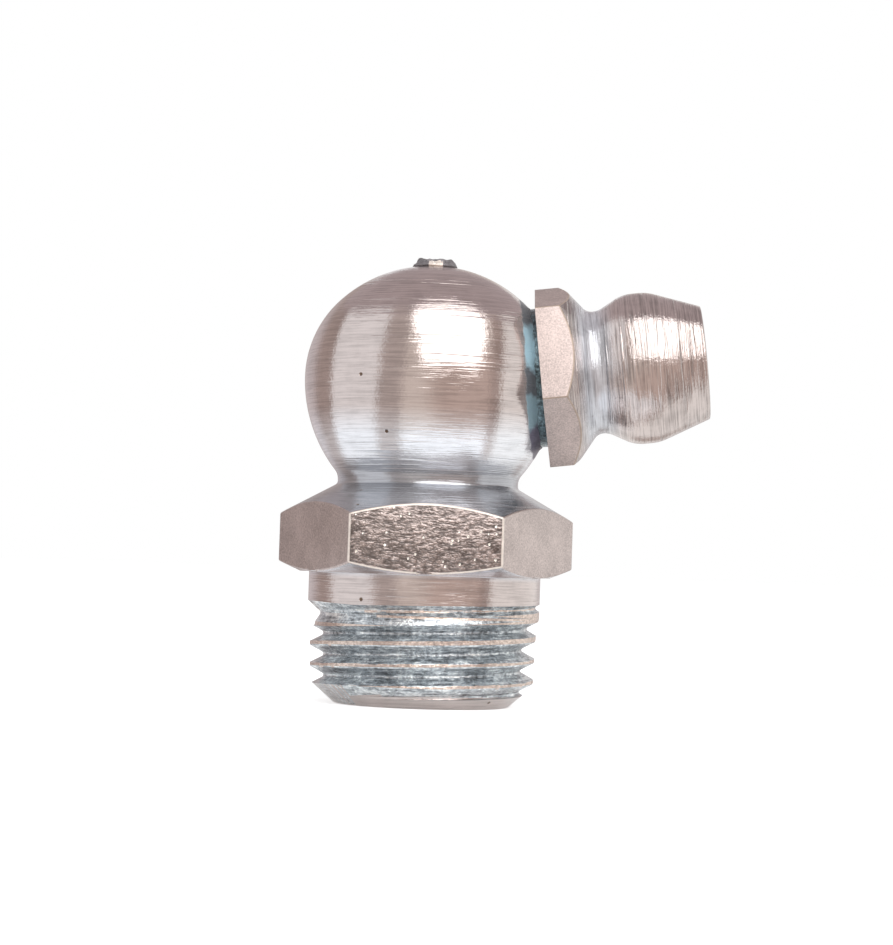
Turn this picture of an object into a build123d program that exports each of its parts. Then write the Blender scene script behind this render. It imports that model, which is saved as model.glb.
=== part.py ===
"""Angle grease nipple, 90 degrees, with a ball check valve.

Two turned steel pieces make the outside.  The elbow body is turned from 11 mm hexagon bar: a short
R 1/8 taper thread, a plain shoulder, the spanner hexagon, a narrow neck and a ball that is drilled
from below and from the side.  The nipple head is turned from 7 mm hexagon bar and screws into the
side of the ball with a tapered M6 shank.  A hard steel check ball closes the head's inlet from the
inside, and a compression spring behind it is held by the rolled-in rear lip of the shank.

Frame, in millimetres: the origin is on the thread's axis in the plane of its end face, +Z runs up
that axis towards the ball, and +X is the direction, seen from above, in which the head points.
Both threads are plain tapers at the height of their crests.
"""

import math
import os

from build123d import *

# Both turned pieces
THREAD_TAPER = 1 / 16  # change of diameter per length
DRILL_POINT_ANGLE = 118.0  # degrees, full angle at the bottom of a drilled hole

# Elbow body, from its thread end up to the ball
THREAD_GAUGE_RADIUS = 4.864  # R 1/8: 9.728 mm over the crests at the gauge plane
THREAD_GAUGE_HEIGHT = 2.5  # a short thread, so the gauge plane is close to the end
THREAD_END_RADIUS = 3.75  # flat end face, inside the lead chamfer
THREAD_LEAD_LENGTH = 0.9
THREAD_LENGTH = 3.65
RELIEF_RADIUS = 4.5  # groove in which the thread runs out
RELIEF_LENGTH = 0.3
SHOULDER_CHAMFER = 0.45  # rise from the groove to the shoulder
SHOULDER_RADIUS = 5.0
SHOULDER_LENGTH = 1.2
BODY_ACROSS_FLATS = 11.0  # hexagon bar, the spanner size
BODY_HEX_CLOCKING = 4.0  # degrees that the hexagon is turned, anticlockwise from above
HEX_SEAT_INSET = 0.1  # from the flats to the rim of the hexagon's flat underside
HEX_LOWER_ANGLE = 24.0  # degrees, underside chamfer from the horizontal
HEX_UPPER_ANGLE = 29.0  # degrees, top chamfer from the horizontal
HEX_EDGE_LENGTH = 2.03  # length of the hexagon's corners
NECK_RADIUS = 3.9
NECK_LENGTH = 0.43
NECK_FILLET = 0.3
BALL_RADIUS = 5.47  # at the equator, just inside the bar's flats
BALL_RISE = 4.17  # from the top of the neck to the equator
CROWN_RISE = 4.96  # from the equator to the top of the ball, whose upper half is a little flattened
CROWN_JOIN_ANGLE = 45.0  # degrees round the crown's section, from its tight outer arc to its flat top arc
PIP_RADIUS = 0.92  # parting-off pip that the lathe leaves
PIP_RISE = 0.22
PIP_CHAMFER = 0.12
OUTLET_BORE_RADIUS = 1.75

# Branch on the ball, along the head's axis
BRANCH_DROP = 0.33  # its axis crosses the thread's axis this far below the ball's equator
BRANCH_RISE_ANGLE = 7.0  # degrees above square to the thread's axis
COLLAR_GAP = 0.27  # left open between the rim of the ball's hole and the collar when the taper is tight
SHANK_END_ROOM = 0.3  # full-size hole behind the end of the shank
SHANK_CLEARANCE = 0.02  # radial, between the shank and its hole

# Nipple head, from the end of its shank to its tip
SHANK_GAUGE_RADIUS = 3.0  # M6 over the crests, at the collar
SHANK_LENGTH = 3.2
SHANK_CHAMFER = 0.35
COLLAR_ACROSS_FLATS = 7.0
COLLAR_CLOCKING = 17.5  # degrees that its front flat looks up from the horizontal
COLLAR_EDGE_LENGTH = 1.03  # length of the collar's corners
COLLAR_CONE_ANGLE = 51.0  # degrees from the axis, front of the collar
NECK_COLLAR_ARC = 0.5  # radius of the hollow on the collar's side
NECK_FLANK_ARC = 0.85  # radius of the hollow on the head's side
FLANK_ANGLE = 29.0  # degrees from the axis, rear of the coupling head
FLANK_ARC = 1.6
HEAD_RADIUS = 3.25  # the 6.5 mm head that the grease coupler grips
HEAD_NECK_DEPTH = 0.61  # how far the neck lies below the head
HEAD_LAND_LENGTH = 0.3
FRONT_ARC = 2.0
FRONT_ANGLE = 20.0  # degrees from the axis, front cone of the head
FRONT_LENGTH = 2.59  # from the land to the tip

# Check valve inside the head
INLET_RADIUS = 0.8
INLET_LAND = 0.35
INLET_CHAMFER = 0.15
SEAT_HALF_ANGLE = 45.0  # degrees, conical seat behind the inlet
VALVE_BORE_RADIUS = 1.4
REAR_LIP_LENGTH = 0.4
REAR_LIP_OVERHANG = 0.45  # how far the lip is rolled in over the bore
CHECK_BALL_CLEARANCE = 0.15  # radial, between ball and bore
SEAT_CLEARANCE = 0.02  # along the axis
SPRING_WIRE_RADIUS = 0.15
SPRING_WIRE_SIDES = 8  # the wire's round section is given few sides, because its turns repeat
SPRING_BORE_CLEARANCE = 0.2  # radial, between coils and bore
SPRING_END_CLEARANCE = 0.02  # at the check ball and at the lip
SPRING_TURNS = 7

TOOL_MARGIN = 0.2  # how far an enclosing or cutting shape reaches past what it makes


def sine(degrees):
    """Sine of an angle in degrees."""
    return math.sin(math.radians(degrees))


def cosine(degrees):
    """Cosine of an angle in degrees."""
    return math.cos(math.radians(degrees))


def slope(degrees):
    """Rise for each unit of run."""
    return math.tan(math.radians(degrees))


def corner_radius(across_flats):
    """Radius over the corners of a hexagon bar."""
    return across_flats / 2 / cosine(30)


def drill_point_length(radius):
    """Length of the cone that a drill leaves beyond the full-size hole."""
    return radius / slope(DRILL_POINT_ANGLE / 2)


def thread_radius(height):
    """Radius over the crests of the body's taper thread."""
    return THREAD_GAUGE_RADIUS + (height - THREAD_GAUGE_HEIGHT) * THREAD_TAPER / 2


def shank_radius(place):
    """Radius over the crests of the head's taper shank, at a place along the head."""
    return SHANK_GAUGE_RADIUS + place * THREAD_TAPER / 2


# Heights on the elbow body
body_corner = corner_radius(BODY_ACROSS_FLATS)
hex_seat_radius = BODY_ACROSS_FLATS / 2 - HEX_SEAT_INSET
relief_height = THREAD_LENGTH + RELIEF_LENGTH
shoulder_base = relief_height + SHOULDER_CHAMFER
hex_base = shoulder_base + SHOULDER_LENGTH
corner_base = hex_base + (body_corner - hex_seat_radius) * slope(HEX_LOWER_ANGLE)
corner_top = corner_base + HEX_EDGE_LENGTH
hex_top = corner_top + (body_corner - NECK_RADIUS) * slope(HEX_UPPER_ANGLE)
neck_top = hex_top + NECK_LENGTH
ball_height = neck_top + BALL_RISE
crown_top = ball_height + CROWN_RISE

# Frames on the branch: +Z is the head's axis, and +X looks down
branch_height = ball_height - BRANCH_DROP
branch = Location((0, 0, branch_height), (0, 90 - BRANCH_RISE_ANGLE, 0))
hole_rim_distance = math.sqrt(BALL_RADIUS**2 - SHANK_GAUGE_RADIUS**2)
collar_seat = branch * Pos(Z=hole_rim_distance + COLLAR_GAP)


def turned(*outline):
    """Solid turned about Z from an outline, as (radius, height), that starts and ends on the axis."""
    closing = Line(outline[-1] @ 1, outline[0] @ 0)
    return revolve(Plane.XZ * make_face([*outline, closing]), Axis.Z)


def hexagon_bar(across_flats, clocking, bottom, top):
    """Hexagon bar along Z; with no clocking two of its flats face +Y and -Y."""
    section = RegularPolygon(across_flats / 2, 6, major_radius=False, rotation=clocking)
    return Pos(Z=bottom) * extrude(section, top - bottom)


def body_section():
    """Half section of the elbow body as it leaves the lathe, before the bar's flats are taken off."""
    flange_radius = body_corner + TOOL_MARGIN
    stem = make_face(
        Polyline(
            (0, 0),
            (THREAD_END_RADIUS, 0),
            (thread_radius(THREAD_LEAD_LENGTH), THREAD_LEAD_LENGTH),
            (thread_radius(THREAD_LENGTH), THREAD_LENGTH),
            (RELIEF_RADIUS, relief_height),
            (SHOULDER_RADIUS, shoulder_base),
            (SHOULDER_RADIUS, hex_base),
            (hex_seat_radius, hex_base),
            (flange_radius, corner_base + TOOL_MARGIN * slope(HEX_LOWER_ANGLE)),
            (flange_radius, corner_top - TOOL_MARGIN * slope(HEX_UPPER_ANGLE)),
            (NECK_RADIUS, hex_top),
            (NECK_RADIUS, neck_top),
            (0, neck_top),
            close=True,
        )
    )
    # the ball's lower side is an arc through the neck's top edge; with the crown it is upright at the equator
    inset = BALL_RADIUS - NECK_RADIUS
    side_arc = (inset**2 + BALL_RISE**2) / (2 * inset)
    corner = (Align.MIN, Align.MIN)
    side = Pos(BALL_RADIUS - side_arc, ball_height) * Circle(side_arc)
    side &= Pos(0, neck_top) * Rectangle(BALL_RADIUS, BALL_RISE, align=corner)
    # the crown goes from upright at the equator to level at its top in two arcs that meet smoothly
    run, rise = cosine(CROWN_JOIN_ANGLE), sine(CROWN_JOIN_ANGLE)
    outer_arc = (CROWN_RISE * run - BALL_RADIUS * (1 - rise)) / (run + rise - 1)
    crown_side = JernArc((BALL_RADIUS, ball_height), (0, 1), outer_arc, CROWN_JOIN_ANGLE)
    crown_cap = TangentArc(crown_side @ 1, (0, crown_top), tangent=crown_side % 1)
    crown_floor = Polyline((0, crown_top), (0, ball_height), (BALL_RADIUS, ball_height))
    crown = make_face([crown_side, crown_cap, crown_floor])
    pip = Pos(0, ball_height) * Rectangle(PIP_RADIUS, CROWN_RISE + PIP_RISE, align=corner)
    section = stem + side + crown + pip
    neck_crease = section.vertices().sort_by_distance((NECK_RADIUS, neck_top))[0]
    section = fillet(neck_crease, NECK_FILLET)
    pip_rim = section.vertices().sort_by_distance((PIP_RADIUS, crown_top + PIP_RISE))[0]
    return chamfer(pip_rim, PIP_CHAMFER)


def branch_hole():
    """Tapered hole for the shank and its drill point; heights run along the head from its collar."""
    full_size_end = -SHANK_LENGTH - SHANK_END_ROOM
    end_radius = shank_radius(full_size_end) + SHANK_CLEARANCE
    return turned(
        Polyline(
            (0, full_size_end - drill_point_length(end_radius)),
            (end_radius, full_size_end),
            (SHANK_GAUGE_RADIUS + SHANK_CLEARANCE, 0),
            (SHANK_GAUGE_RADIUS + SHANK_CLEARANCE, BALL_RADIUS),
            (0, BALL_RADIUS),
        )
    )


def outlet_bore():
    """Grease passage up from the thread's end face; its drill point reaches the branch's axis."""
    full_size_end = branch_height - drill_point_length(OUTLET_BORE_RADIUS)
    return turned(
        Polyline(
            (0, -TOOL_MARGIN),
            (OUTLET_BORE_RADIUS, -TOOL_MARGIN),
            (OUTLET_BORE_RADIUS, full_size_end),
            (0, branch_height),
        )
    )


def elbow_body():
    """Turned elbow body with its grease passages."""
    body = revolve(Plane.XZ * body_section(), Axis.Z)
    body &= hexagon_bar(BODY_ACROSS_FLATS, BODY_HEX_CLOCKING, 0, crown_top + PIP_RISE)
    return body - collar_seat * branch_hole() - outlet_bore()


def head_outline():
    """Outline of the nipple head from the end of its shank to its tip, as lines and arcs in turn."""
    collar_corner = corner_radius(COLLAR_ACROSS_FLATS)
    flange_radius = collar_corner + TOOL_MARGIN
    shank = Polyline(
        (0, -SHANK_LENGTH),
        (shank_radius(-SHANK_LENGTH) - SHANK_CHAMFER, -SHANK_LENGTH),
        (shank_radius(SHANK_CHAMFER - SHANK_LENGTH), SHANK_CHAMFER - SHANK_LENGTH),
        (SHANK_GAUGE_RADIUS, 0),
        (flange_radius, 0),
        (flange_radius, COLLAR_EDGE_LENGTH - TOOL_MARGIN / slope(COLLAR_CONE_ANGLE)),
    )
    neck_radius = HEAD_RADIUS - HEAD_NECK_DEPTH
    cone_drop = flange_radius - neck_radius - NECK_COLLAR_ARC * (1 - cosine(COLLAR_CONE_ANGLE))
    cone = PolarLine(shank @ 1, cone_drop / sine(COLLAR_CONE_ANGLE), 90 + COLLAR_CONE_ANGLE)
    hollow = JernArc(cone @ 1, cone % 1, NECK_COLLAR_ARC, -COLLAR_CONE_ANGLE)
    hollow_out = JernArc(hollow @ 1, hollow % 1, NECK_FLANK_ARC, -FLANK_ANGLE)
    flank_rise = HEAD_NECK_DEPTH - (NECK_FLANK_ARC + FLANK_ARC) * (1 - cosine(FLANK_ANGLE))
    flank = PolarLine(hollow_out @ 1, flank_rise / sine(FLANK_ANGLE), 90 - FLANK_ANGLE)
    flank_top = JernArc(flank @ 1, flank % 1, FLANK_ARC, FLANK_ANGLE)
    land = PolarLine(flank_top @ 1, HEAD_LAND_LENGTH, 90)
    front_top = JernArc(land @ 1, land % 1, FRONT_ARC, FRONT_ANGLE)
    cone_length = FRONT_LENGTH - FRONT_ARC * sine(FRONT_ANGLE)
    front = PolarLine(front_top @ 1, cone_length / cosine(FRONT_ANGLE), 90 + FRONT_ANGLE)
    tip = Line(front @ 1, (0, (front @ 1).Y))
    return [shank, cone, hollow, hollow_out, flank, flank_top, land, front_top, front, tip]


# Places of the valve along the head, from the rear face of its collar
tip_place = (head_outline()[-1] @ 1).Y
seat_start = tip_place - INLET_LAND
seat_apex = seat_start + INLET_RADIUS / slope(SEAT_HALF_ANGLE)
seat_end = seat_apex - VALVE_BORE_RADIUS / slope(SEAT_HALF_ANGLE)
lip_front = REAR_LIP_LENGTH - SHANK_LENGTH
check_ball_radius = VALVE_BORE_RADIUS - CHECK_BALL_CLEARANCE
check_ball_place = seat_apex - check_ball_radius / sine(SEAT_HALF_ANGLE) - SEAT_CLEARANCE
coil_radius = VALVE_BORE_RADIUS - SPRING_BORE_CLEARANCE - SPRING_WIRE_RADIUS
coil_behind_ball = math.sqrt((check_ball_radius + SPRING_WIRE_RADIUS) ** 2 - coil_radius**2)
spring_front = check_ball_place - coil_behind_ball - SPRING_END_CLEARANCE
spring_rear = lip_front + SPRING_WIRE_RADIUS + SPRING_END_CLEARANCE


def valve_passage():
    """Inlet, conical seat, valve bore and the opening in the rear lip."""
    lip_radius = VALVE_BORE_RADIUS - REAR_LIP_OVERHANG
    return turned(
        Polyline(
            (0, -SHANK_LENGTH - TOOL_MARGIN),
            (lip_radius, -SHANK_LENGTH - TOOL_MARGIN),
            (lip_radius, lip_front),
            (VALVE_BORE_RADIUS, lip_front),
            (VALVE_BORE_RADIUS, seat_end),
            (INLET_RADIUS, seat_start),
            (INLET_RADIUS, tip_place - INLET_CHAMFER),
            (INLET_RADIUS + INLET_CHAMFER + TOOL_MARGIN, tip_place + TOOL_MARGIN),
            (0, tip_place + TOOL_MARGIN),
        )
    )


def nipple_head():
    """Turned nipple head, with its hexagon collar, in its place on the branch."""
    bar = hexagon_bar(COLLAR_ACROSS_FLATS, -COLLAR_CLOCKING, -SHANK_LENGTH, tip_place)
    return collar_seat * (turned(*head_outline()) & bar - valve_passage())


def check_ball():
    """Hard steel ball, just off its seat behind the inlet."""
    return collar_seat * Pos(Z=check_ball_place) * Sphere(check_ball_radius)


def spring():
    """Compression spring from the rear lip to the check ball, with a closed coil at each end."""
    length = spring_front - spring_rear
    wire = RegularPolygon(SPRING_WIRE_RADIUS, SPRING_WIRE_SIDES)
    path = Pos(Z=spring_rear) * Helix(length / SPRING_TURNS, length, coil_radius)
    start = Plane(origin=path @ 0, z_dir=path % 0)
    coils = sweep(start * wire, path, is_frenet=True)
    end_coil = revolve(Plane.XZ * Pos(coil_radius) * wire, Axis.Z)
    return collar_seat * (coils + Pos(Z=spring_rear) * end_coil + Pos(Z=spring_front) * end_coil)


PIECES = {
    "elbow_body": elbow_body,
    "nipple_head": nipple_head,
    "check_ball": check_ball,
    "spring": spring,
}

os.makedirs("parts", exist_ok=True)
for name, make in PIECES.items():
    export_step(make(), f"parts/{name}.step")
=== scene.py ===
"""Dressed model of an angle grease nipple: turned, zinc-plated steel with a ball check valve.

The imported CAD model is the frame.  Each visible piece is modelled again at full fineness with its
threads, edges and turning marks, rides on its CAD body, and stands in the CAD node's place.
"""

import math

import bmesh
import bpy
from mathutils import Matrix, Vector, noise


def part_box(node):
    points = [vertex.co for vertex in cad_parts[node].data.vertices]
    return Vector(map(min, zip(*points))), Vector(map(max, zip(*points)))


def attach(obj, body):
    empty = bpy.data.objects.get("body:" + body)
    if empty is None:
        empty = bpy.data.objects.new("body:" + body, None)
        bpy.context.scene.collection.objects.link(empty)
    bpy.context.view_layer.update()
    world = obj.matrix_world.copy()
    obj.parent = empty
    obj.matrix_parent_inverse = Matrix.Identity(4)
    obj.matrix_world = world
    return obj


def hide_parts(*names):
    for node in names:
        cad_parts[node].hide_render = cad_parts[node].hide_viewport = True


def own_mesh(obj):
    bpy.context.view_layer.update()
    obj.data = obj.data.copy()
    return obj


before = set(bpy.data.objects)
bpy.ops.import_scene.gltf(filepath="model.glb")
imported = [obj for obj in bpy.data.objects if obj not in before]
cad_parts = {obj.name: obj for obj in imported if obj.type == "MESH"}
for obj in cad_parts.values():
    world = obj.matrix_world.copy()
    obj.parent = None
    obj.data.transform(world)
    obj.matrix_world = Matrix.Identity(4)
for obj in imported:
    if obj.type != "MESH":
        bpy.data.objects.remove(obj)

bl_info = {
    "name": "Angle Grease Nipple",
    "version": (1, 0, 0),
    "blender": (4, 5, 0),
    "location": "View3D > Sidebar > Nipple",
    "description": "Builds the turned pieces, finishes and studio of an angle grease nipple",
    "category": "Object",
}

# Pieces are shaped at one unit to the millimetre and brought to metres when they are finished
MILLIMETRE = 0.001
TURN_STEPS = 240  # facets around a turned piece
SHARP_ANGLE = math.radians(16)  # between two faces, above which their edge is broken
CONE_SLACK = 1.5  # degrees that a face of a hexagon's cone may lie off the cone's own slant
FLAT_FACING = 0.9995  # least cosine between a hexagon's flat and the normal of a face that is part of it
THREAD_TAPER = 1 / 32  # change of radius per length
HEAD_AXIS_RISE = 7.0  # degrees that the head points upwards
BRANCH_HEIGHT = 13.6818  # where the head's axis crosses the body's axis
COLLAR_SEAT = 4.8438  # from that crossing to the rear face of the collar
VIEW_TURN = math.radians(4.0)  # the studio is turned this far about Z from the body's own axes
BODY_CLOCKING = 4.0  # degrees that the body's hexagon is turned
COLLAR_CLOCKING = -13.0  # degrees that the collar's hexagon is turned
HEX_OVERLAP = 0.2  # that a hexagon's turned cones run out past its corners, until its flats are cut


# ---------------------------------------------------------------- sizes and finishes


def length(name, description, default):
    """A length property, given in millimetres."""
    return bpy.props.FloatProperty(
        name=name, description=description, default=default * MILLIMETRE, unit="LENGTH", precision=5
    )


def tint(name, description, default):
    """A colour property."""
    return bpy.props.FloatVectorProperty(
        name=name, description=description, default=default, subtype="COLOR", size=3, min=0, max=1
    )


class NippleBodySizes(bpy.types.PropertyGroup):
    shoulder_radius: length("Shoulder radius", "Radius of the plain shoulder above the thread", 5.0)
    across_flats: length("Across flats", "Spanner size of the hexagon", 11.0)
    neck_radius: length("Neck radius", "Radius of the neck under the ball", 3.9)
    ball_radius: length("Ball radius", "Radius of the ball at its equator", 5.47)
    bore_radius: length("Bore radius", "Radius of the grease passage in the thread end", 1.75)
    thread_pitch: length("Thread pitch", "Rise of the taper thread in one turn", 0.907)


class NippleHeadSizes(bpy.types.PropertyGroup):
    head_radius: length("Head radius", "Radius of the coupling head", 3.25)
    across_flats: length("Across flats", "Hexagon size of the collar", 7.0)
    shank_pitch: length("Shank pitch", "Rise of the shank's thread in one turn", 1.0)


class NippleFinish(bpy.types.PropertyGroup):
    zinc: tint("Zinc", "Warm colour of the turned, plated steel", (0.69, 0.62, 0.60))
    passivated: tint("Passivated zinc", "Bluish colour that the plating has in hollows", (0.75, 0.77, 0.82))
    bar: tint("Bar flats", "Colour of the plated bar's flats", (0.54, 0.47, 0.45))
    thread: tint("Thread", "Colour of the passivated thread", (0.60, 0.65, 0.69))
    torn: tint("Torn steel", "Colour of torn steel on the crests", (0.66, 0.56, 0.50))
    # Teal of the painted reflection on the ball behind the collar; darkened, also the painted shade of the
    # shank's thread
    painted_gap_teal: tint("Seat stain", "Teal stain of the plating behind the collar", (0.38, 0.55, 0.63))


# ---------------------------------------------------------------- modelling


def deselect_all():
    """Leaves nothing selected."""
    bpy.ops.object.select_all(action="DESELECT")


def pick(piece):
    """Makes one object the only selected and the active one."""
    deselect_all()
    piece.select_set(True)
    bpy.context.view_layer.objects.active = piece


def arc(centre, radius, start, end, steps):
    """Points of an arc in (radius, height), from one angle in degrees to another, both ends given."""
    turn = [math.radians(start + (end - start) * i / steps) for i in range(steps + 1)]
    return [(centre[0] + radius * math.cos(a), centre[1] + radius * math.sin(a)) for a in turn]


def eased(before, corner, after, reach, steps=6):
    """Points that round a corner off, over a reach on either side of it."""
    corner = Vector(corner)
    start = corner + (Vector(before) - corner).normalized() * reach
    end = corner + (Vector(after) - corner).normalized() * reach
    points = []
    for i in range(steps + 1):
        t = i / steps
        points.append(tuple(start * (1 - t) ** 2 + corner * 2 * t * (1 - t) + end * t**2))
    return points


def softened(outline, reaches, steps=5):
    """An outline with some of its corners, given by index and reach, rounded off."""
    points = []
    for i, point in enumerate(outline):
        if i in reaches:
            points += eased(outline[i - 1], point, outline[i + 1], reaches[i], steps)
        else:
            points.append(point)
    return points


def turned(name, outline, steps=TURN_STEPS, clocking=0.0):
    """A closed solid turned about Z, from an outline that ends on the axis or comes back to its start."""
    deselect_all()
    bpy.ops.mesh.primitive_plane_add(size=0.1)
    piece = bpy.context.object
    piece.name = name
    bpy.ops.object.mode_set(mode="EDIT")
    bpy.ops.mesh.select_all(action="SELECT")
    bpy.ops.mesh.merge(type="CENTER")
    bpy.ops.transform.translate(value=(outline[0][0], 0, outline[0][1]))
    for (r0, z0), (r1, z1) in zip(outline, outline[1:]):
        step = (r1 - r0, 0, z1 - z0)
        bpy.ops.mesh.extrude_region_move(TRANSFORM_OT_translate={"value": step})
    bpy.ops.mesh.select_all(action="SELECT")
    bpy.ops.mesh.spin(steps=steps, angle=math.tau, center=(0, 0, 0), axis=(0, 0, 1))
    close_up()
    piece.rotation_euler = (0, 0, math.radians(clocking - 180 / steps))
    bpy.ops.object.transform_apply(location=True, rotation=True, scale=True)
    return piece


def close_up():
    """Merges doubles and turns the faces outwards; in edit mode."""
    bpy.ops.mesh.select_all(action="SELECT")
    bpy.ops.mesh.remove_doubles(threshold=0.0005)
    bpy.ops.mesh.normals_make_consistent(inside=False)
    bpy.ops.object.mode_set(mode="OBJECT")


def flat_directions(clocking):
    """Outward directions of a hexagon's flats; with no clocking one of them is -Y."""
    turns = [math.radians(clocking - 30 + 60 * i) for i in range(6)]
    return [Vector((math.cos(turn), math.sin(turn), 0)) for turn in turns]


def hexagon_prism(across_flats, clocking, bottom, top):
    """Hexagon bar along Z; with no clocking two of its flats face +Y and -Y."""
    deselect_all()
    corner = across_flats / math.sqrt(3)
    middle = (0, 0, (bottom + top) / 2)
    bpy.ops.mesh.primitive_cylinder_add(vertices=6, radius=corner, depth=top - bottom, location=middle)
    prism = bpy.context.object
    flat = max(prism.data.polygons, key=lambda face: -face.normal.y - abs(face.normal.z))
    off = math.atan2(flat.normal.x, -flat.normal.y)
    prism.rotation_euler = (0, 0, math.radians(clocking) - off)
    bpy.ops.object.transform_apply(location=True, rotation=True, scale=True)
    return prism


def break_edges(piece, low, high, out, width):
    """Rounds off the sharp edges that lie between two heights and outside a radius."""
    pick(piece)
    choose = bpy.context.tool_settings
    choose.mesh_select_mode = (False, True, False)
    shell = bmesh.new()
    shell.from_mesh(piece.data)
    bmesh.ops.remove_doubles(shell, verts=shell.verts, dist=0.01)
    for part in (*shell.verts, *shell.edges, *shell.faces):
        part.select = False
    for edge in shell.edges:
        middle = (edge.verts[0].co + edge.verts[1].co) / 2
        sharp = len(edge.link_faces) == 2 and edge.calc_face_angle(0) > SHARP_ANGLE
        if sharp and low < middle.z < high and middle.to_2d().length > out:
            edge.select_set(True)
    shell.to_mesh(piece.data)
    shell.free()
    bpy.ops.object.mode_set(mode="EDIT")
    bpy.ops.mesh.bevel(offset=width, segments=3, profile=0.5, clamp_overlap=False)
    bpy.ops.object.mode_set(mode="OBJECT")
    choose.mesh_select_mode = (True, False, False)


def cut(piece, tool, operation="DIFFERENCE"):
    """Applies an exact boolean with a tool, which is used up."""
    pick(piece)
    step = piece.modifiers.new("cut", "BOOLEAN")
    step.object = tool
    step.operation = operation
    step.solver = "EXACT"
    bpy.ops.object.modifier_apply(modifier=step.name)
    bpy.data.objects.remove(tool, do_unlink=True)
    if not piece.data.polygons:
        raise RuntimeError(f"a cut left nothing of {piece.name}")


def finish_piece(piece, body, node, materials):
    """Brings a piece to metres, dresses it and hands it to the frame in its CAD node's place."""
    pick(piece)
    piece.scale = (MILLIMETRE,) * 3
    bpy.ops.object.transform_apply(location=True, rotation=True, scale=True)
    for material in materials:
        piece.data.materials.append(material)
    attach(piece, body)
    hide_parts(node)


def branch_matrix(distance):
    """Place on the head's axis, at a distance from the body's axis, with +Z along the head."""
    tilt = Matrix.Rotation(math.radians(90 - HEAD_AXIS_RISE), 4, "Y")
    return Matrix.Translation((0, 0, BRANCH_HEIGHT)) @ tilt @ Matrix.Translation((0, 0, distance))


def place(piece, matrix):
    """Moves a piece's mesh to its place."""
    pick(piece)
    piece.matrix_world = matrix
    bpy.ops.object.transform_apply(location=True, rotation=True, scale=True)


def groove_section(pitch, crest_flat, root_arc, half_angle, depth, reach):
    """Section of a thread groove as (height, rise over the root), closed well outside the crests."""
    blunt = 0.012  # break of the crest's edge
    straight = 0.93  # share of the flank that keeps its angle, where it doesn't reach the crest's edge
    half = []
    for i in range(5):
        a = math.radians((90 - half_angle) * i / 4)
        half.append((root_arc * math.sin(a), root_arc * (1 - math.cos(a))))
    top = pitch / 2 - crest_flat / 2
    run = top - half[-1][0]
    rise = depth - half[-1][1]
    lean = math.tan(math.radians(half_angle))
    if run > rise * lean:
        half.append((half[-1][0] + rise * lean * straight, half[-1][1] + rise * straight))
    half.append((top - blunt, depth - blunt))
    half.append((top, depth + 0.01))
    half.append((top, depth + reach))
    return [(-h, r) for h, r in reversed(half[1:])] + half


def helix_cutter(name, section, pitch, start, turns, root_radius, steps, wear=0):
    """A closed tube swept along a right-hand helix, to cut a thread groove with slightly torn flanks."""
    mesh = bpy.data.meshes.new(name)
    tool = bpy.data.objects.new(name, mesh)
    bpy.context.collection.objects.link(tool)
    shell = bmesh.new()
    rings = []
    count = int(turns * steps)
    for i in range(count + 1):
        angle = start + math.tau * i / steps
        height = pitch * (angle / math.tau)
        base = root_radius(height)
        ring = []
        for j, (along, rise) in enumerate(section):
            tear = noise.noise(Vector((angle * 9, height * 7, j * 0.7))) * wear
            r = base + rise + tear * (0 < j < len(section) - 1)
            turn = Vector((r * math.cos(angle), r * math.sin(angle), height + along + tear * 0.8))
            ring.append(shell.verts.new(turn))
        rings.append(ring)
    for near, far in zip(rings, rings[1:]):
        for j in range(len(near)):
            k = (j + 1) % len(near)
            shell.faces.new((near[j], near[k], far[k], far[j]))
    shell.faces.new(rings[0][::-1])
    shell.faces.new(rings[-1])
    bmesh.ops.recalc_face_normals(shell, faces=shell.faces)
    shell.to_mesh(mesh)
    shell.free()
    return tool


def slant(normal):
    """Degrees that a normal rises from level."""
    return math.degrees(math.asin(max(-1, min(1, normal.z))))


def mark_by(piece, rule):
    """Gives each face the material index that a rule returns for its centre and normal."""
    for face in piece.data.polygons:
        face.material_index = rule(face.center, face.normal)


def smooth(piece, degrees=32):
    """Smooth shading with sharp edges above an angle."""
    pick(piece)
    bpy.ops.object.shade_smooth_by_angle(angle=math.radians(degrees))


# ---------------------------------------------------------------- finishes


def scaled(colour, strength):
    """A colour times a number, with no part of it over one."""
    return tuple(min(1, c * strength) for c in colour)


def link(tree, value, socket):
    """Feeds a socket from another one or sets it to a number, where either is given."""
    if isinstance(value, (int, float)):
        socket.default_value = value
    elif value is not None:
        tree.links.new(value, socket)


def new_material(name):
    """An empty metal material with its node tree and shader."""
    material = bpy.data.materials.new(name)
    material.use_nodes = True
    tree = material.node_tree
    shader = tree.nodes["Principled BSDF"]
    shader.inputs["Metallic"].default_value = 1.0
    return material, tree, shader


def math_node(tree, operation, a, b=None, c=None):
    """A Math node on sockets or numbers; returns its output."""
    node = tree.nodes.new("ShaderNodeMath")
    node.operation = operation
    for value, socket in zip((a, b, c), node.inputs):
        link(tree, value, socket)
    return node.outputs[0]


def weighted(tree, *terms):
    """Sum of sockets, each times a number."""
    total = 0.0
    for socket, weight in terms:
        total = math_node(tree, "MULTIPLY_ADD", socket, weight, total)
    return total


def step_up(tree, value, low, high):
    """A smooth step from nought at one value to one at another."""
    node = tree.nodes.new("ShaderNodeMapRange")
    node.interpolation_type = "SMOOTHSTEP"
    link(tree, value, node.inputs["Value"])
    node.inputs["From Min"].default_value = low
    node.inputs["From Max"].default_value = high
    return node.outputs["Result"]


def ramp(tree, factor, stops):
    """A colour ramp with its stops as (place, colour)."""
    node = tree.nodes.new("ShaderNodeValToRGB")
    elements = node.color_ramp.elements
    while len(elements) < len(stops):
        elements.new(0.5)
    for element, (position, colour) in zip(elements, stops):
        element.position = position
        element.color = (*colour, 1)
    tree.links.new(factor, node.inputs["Fac"])
    return node.outputs["Color"]


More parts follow.
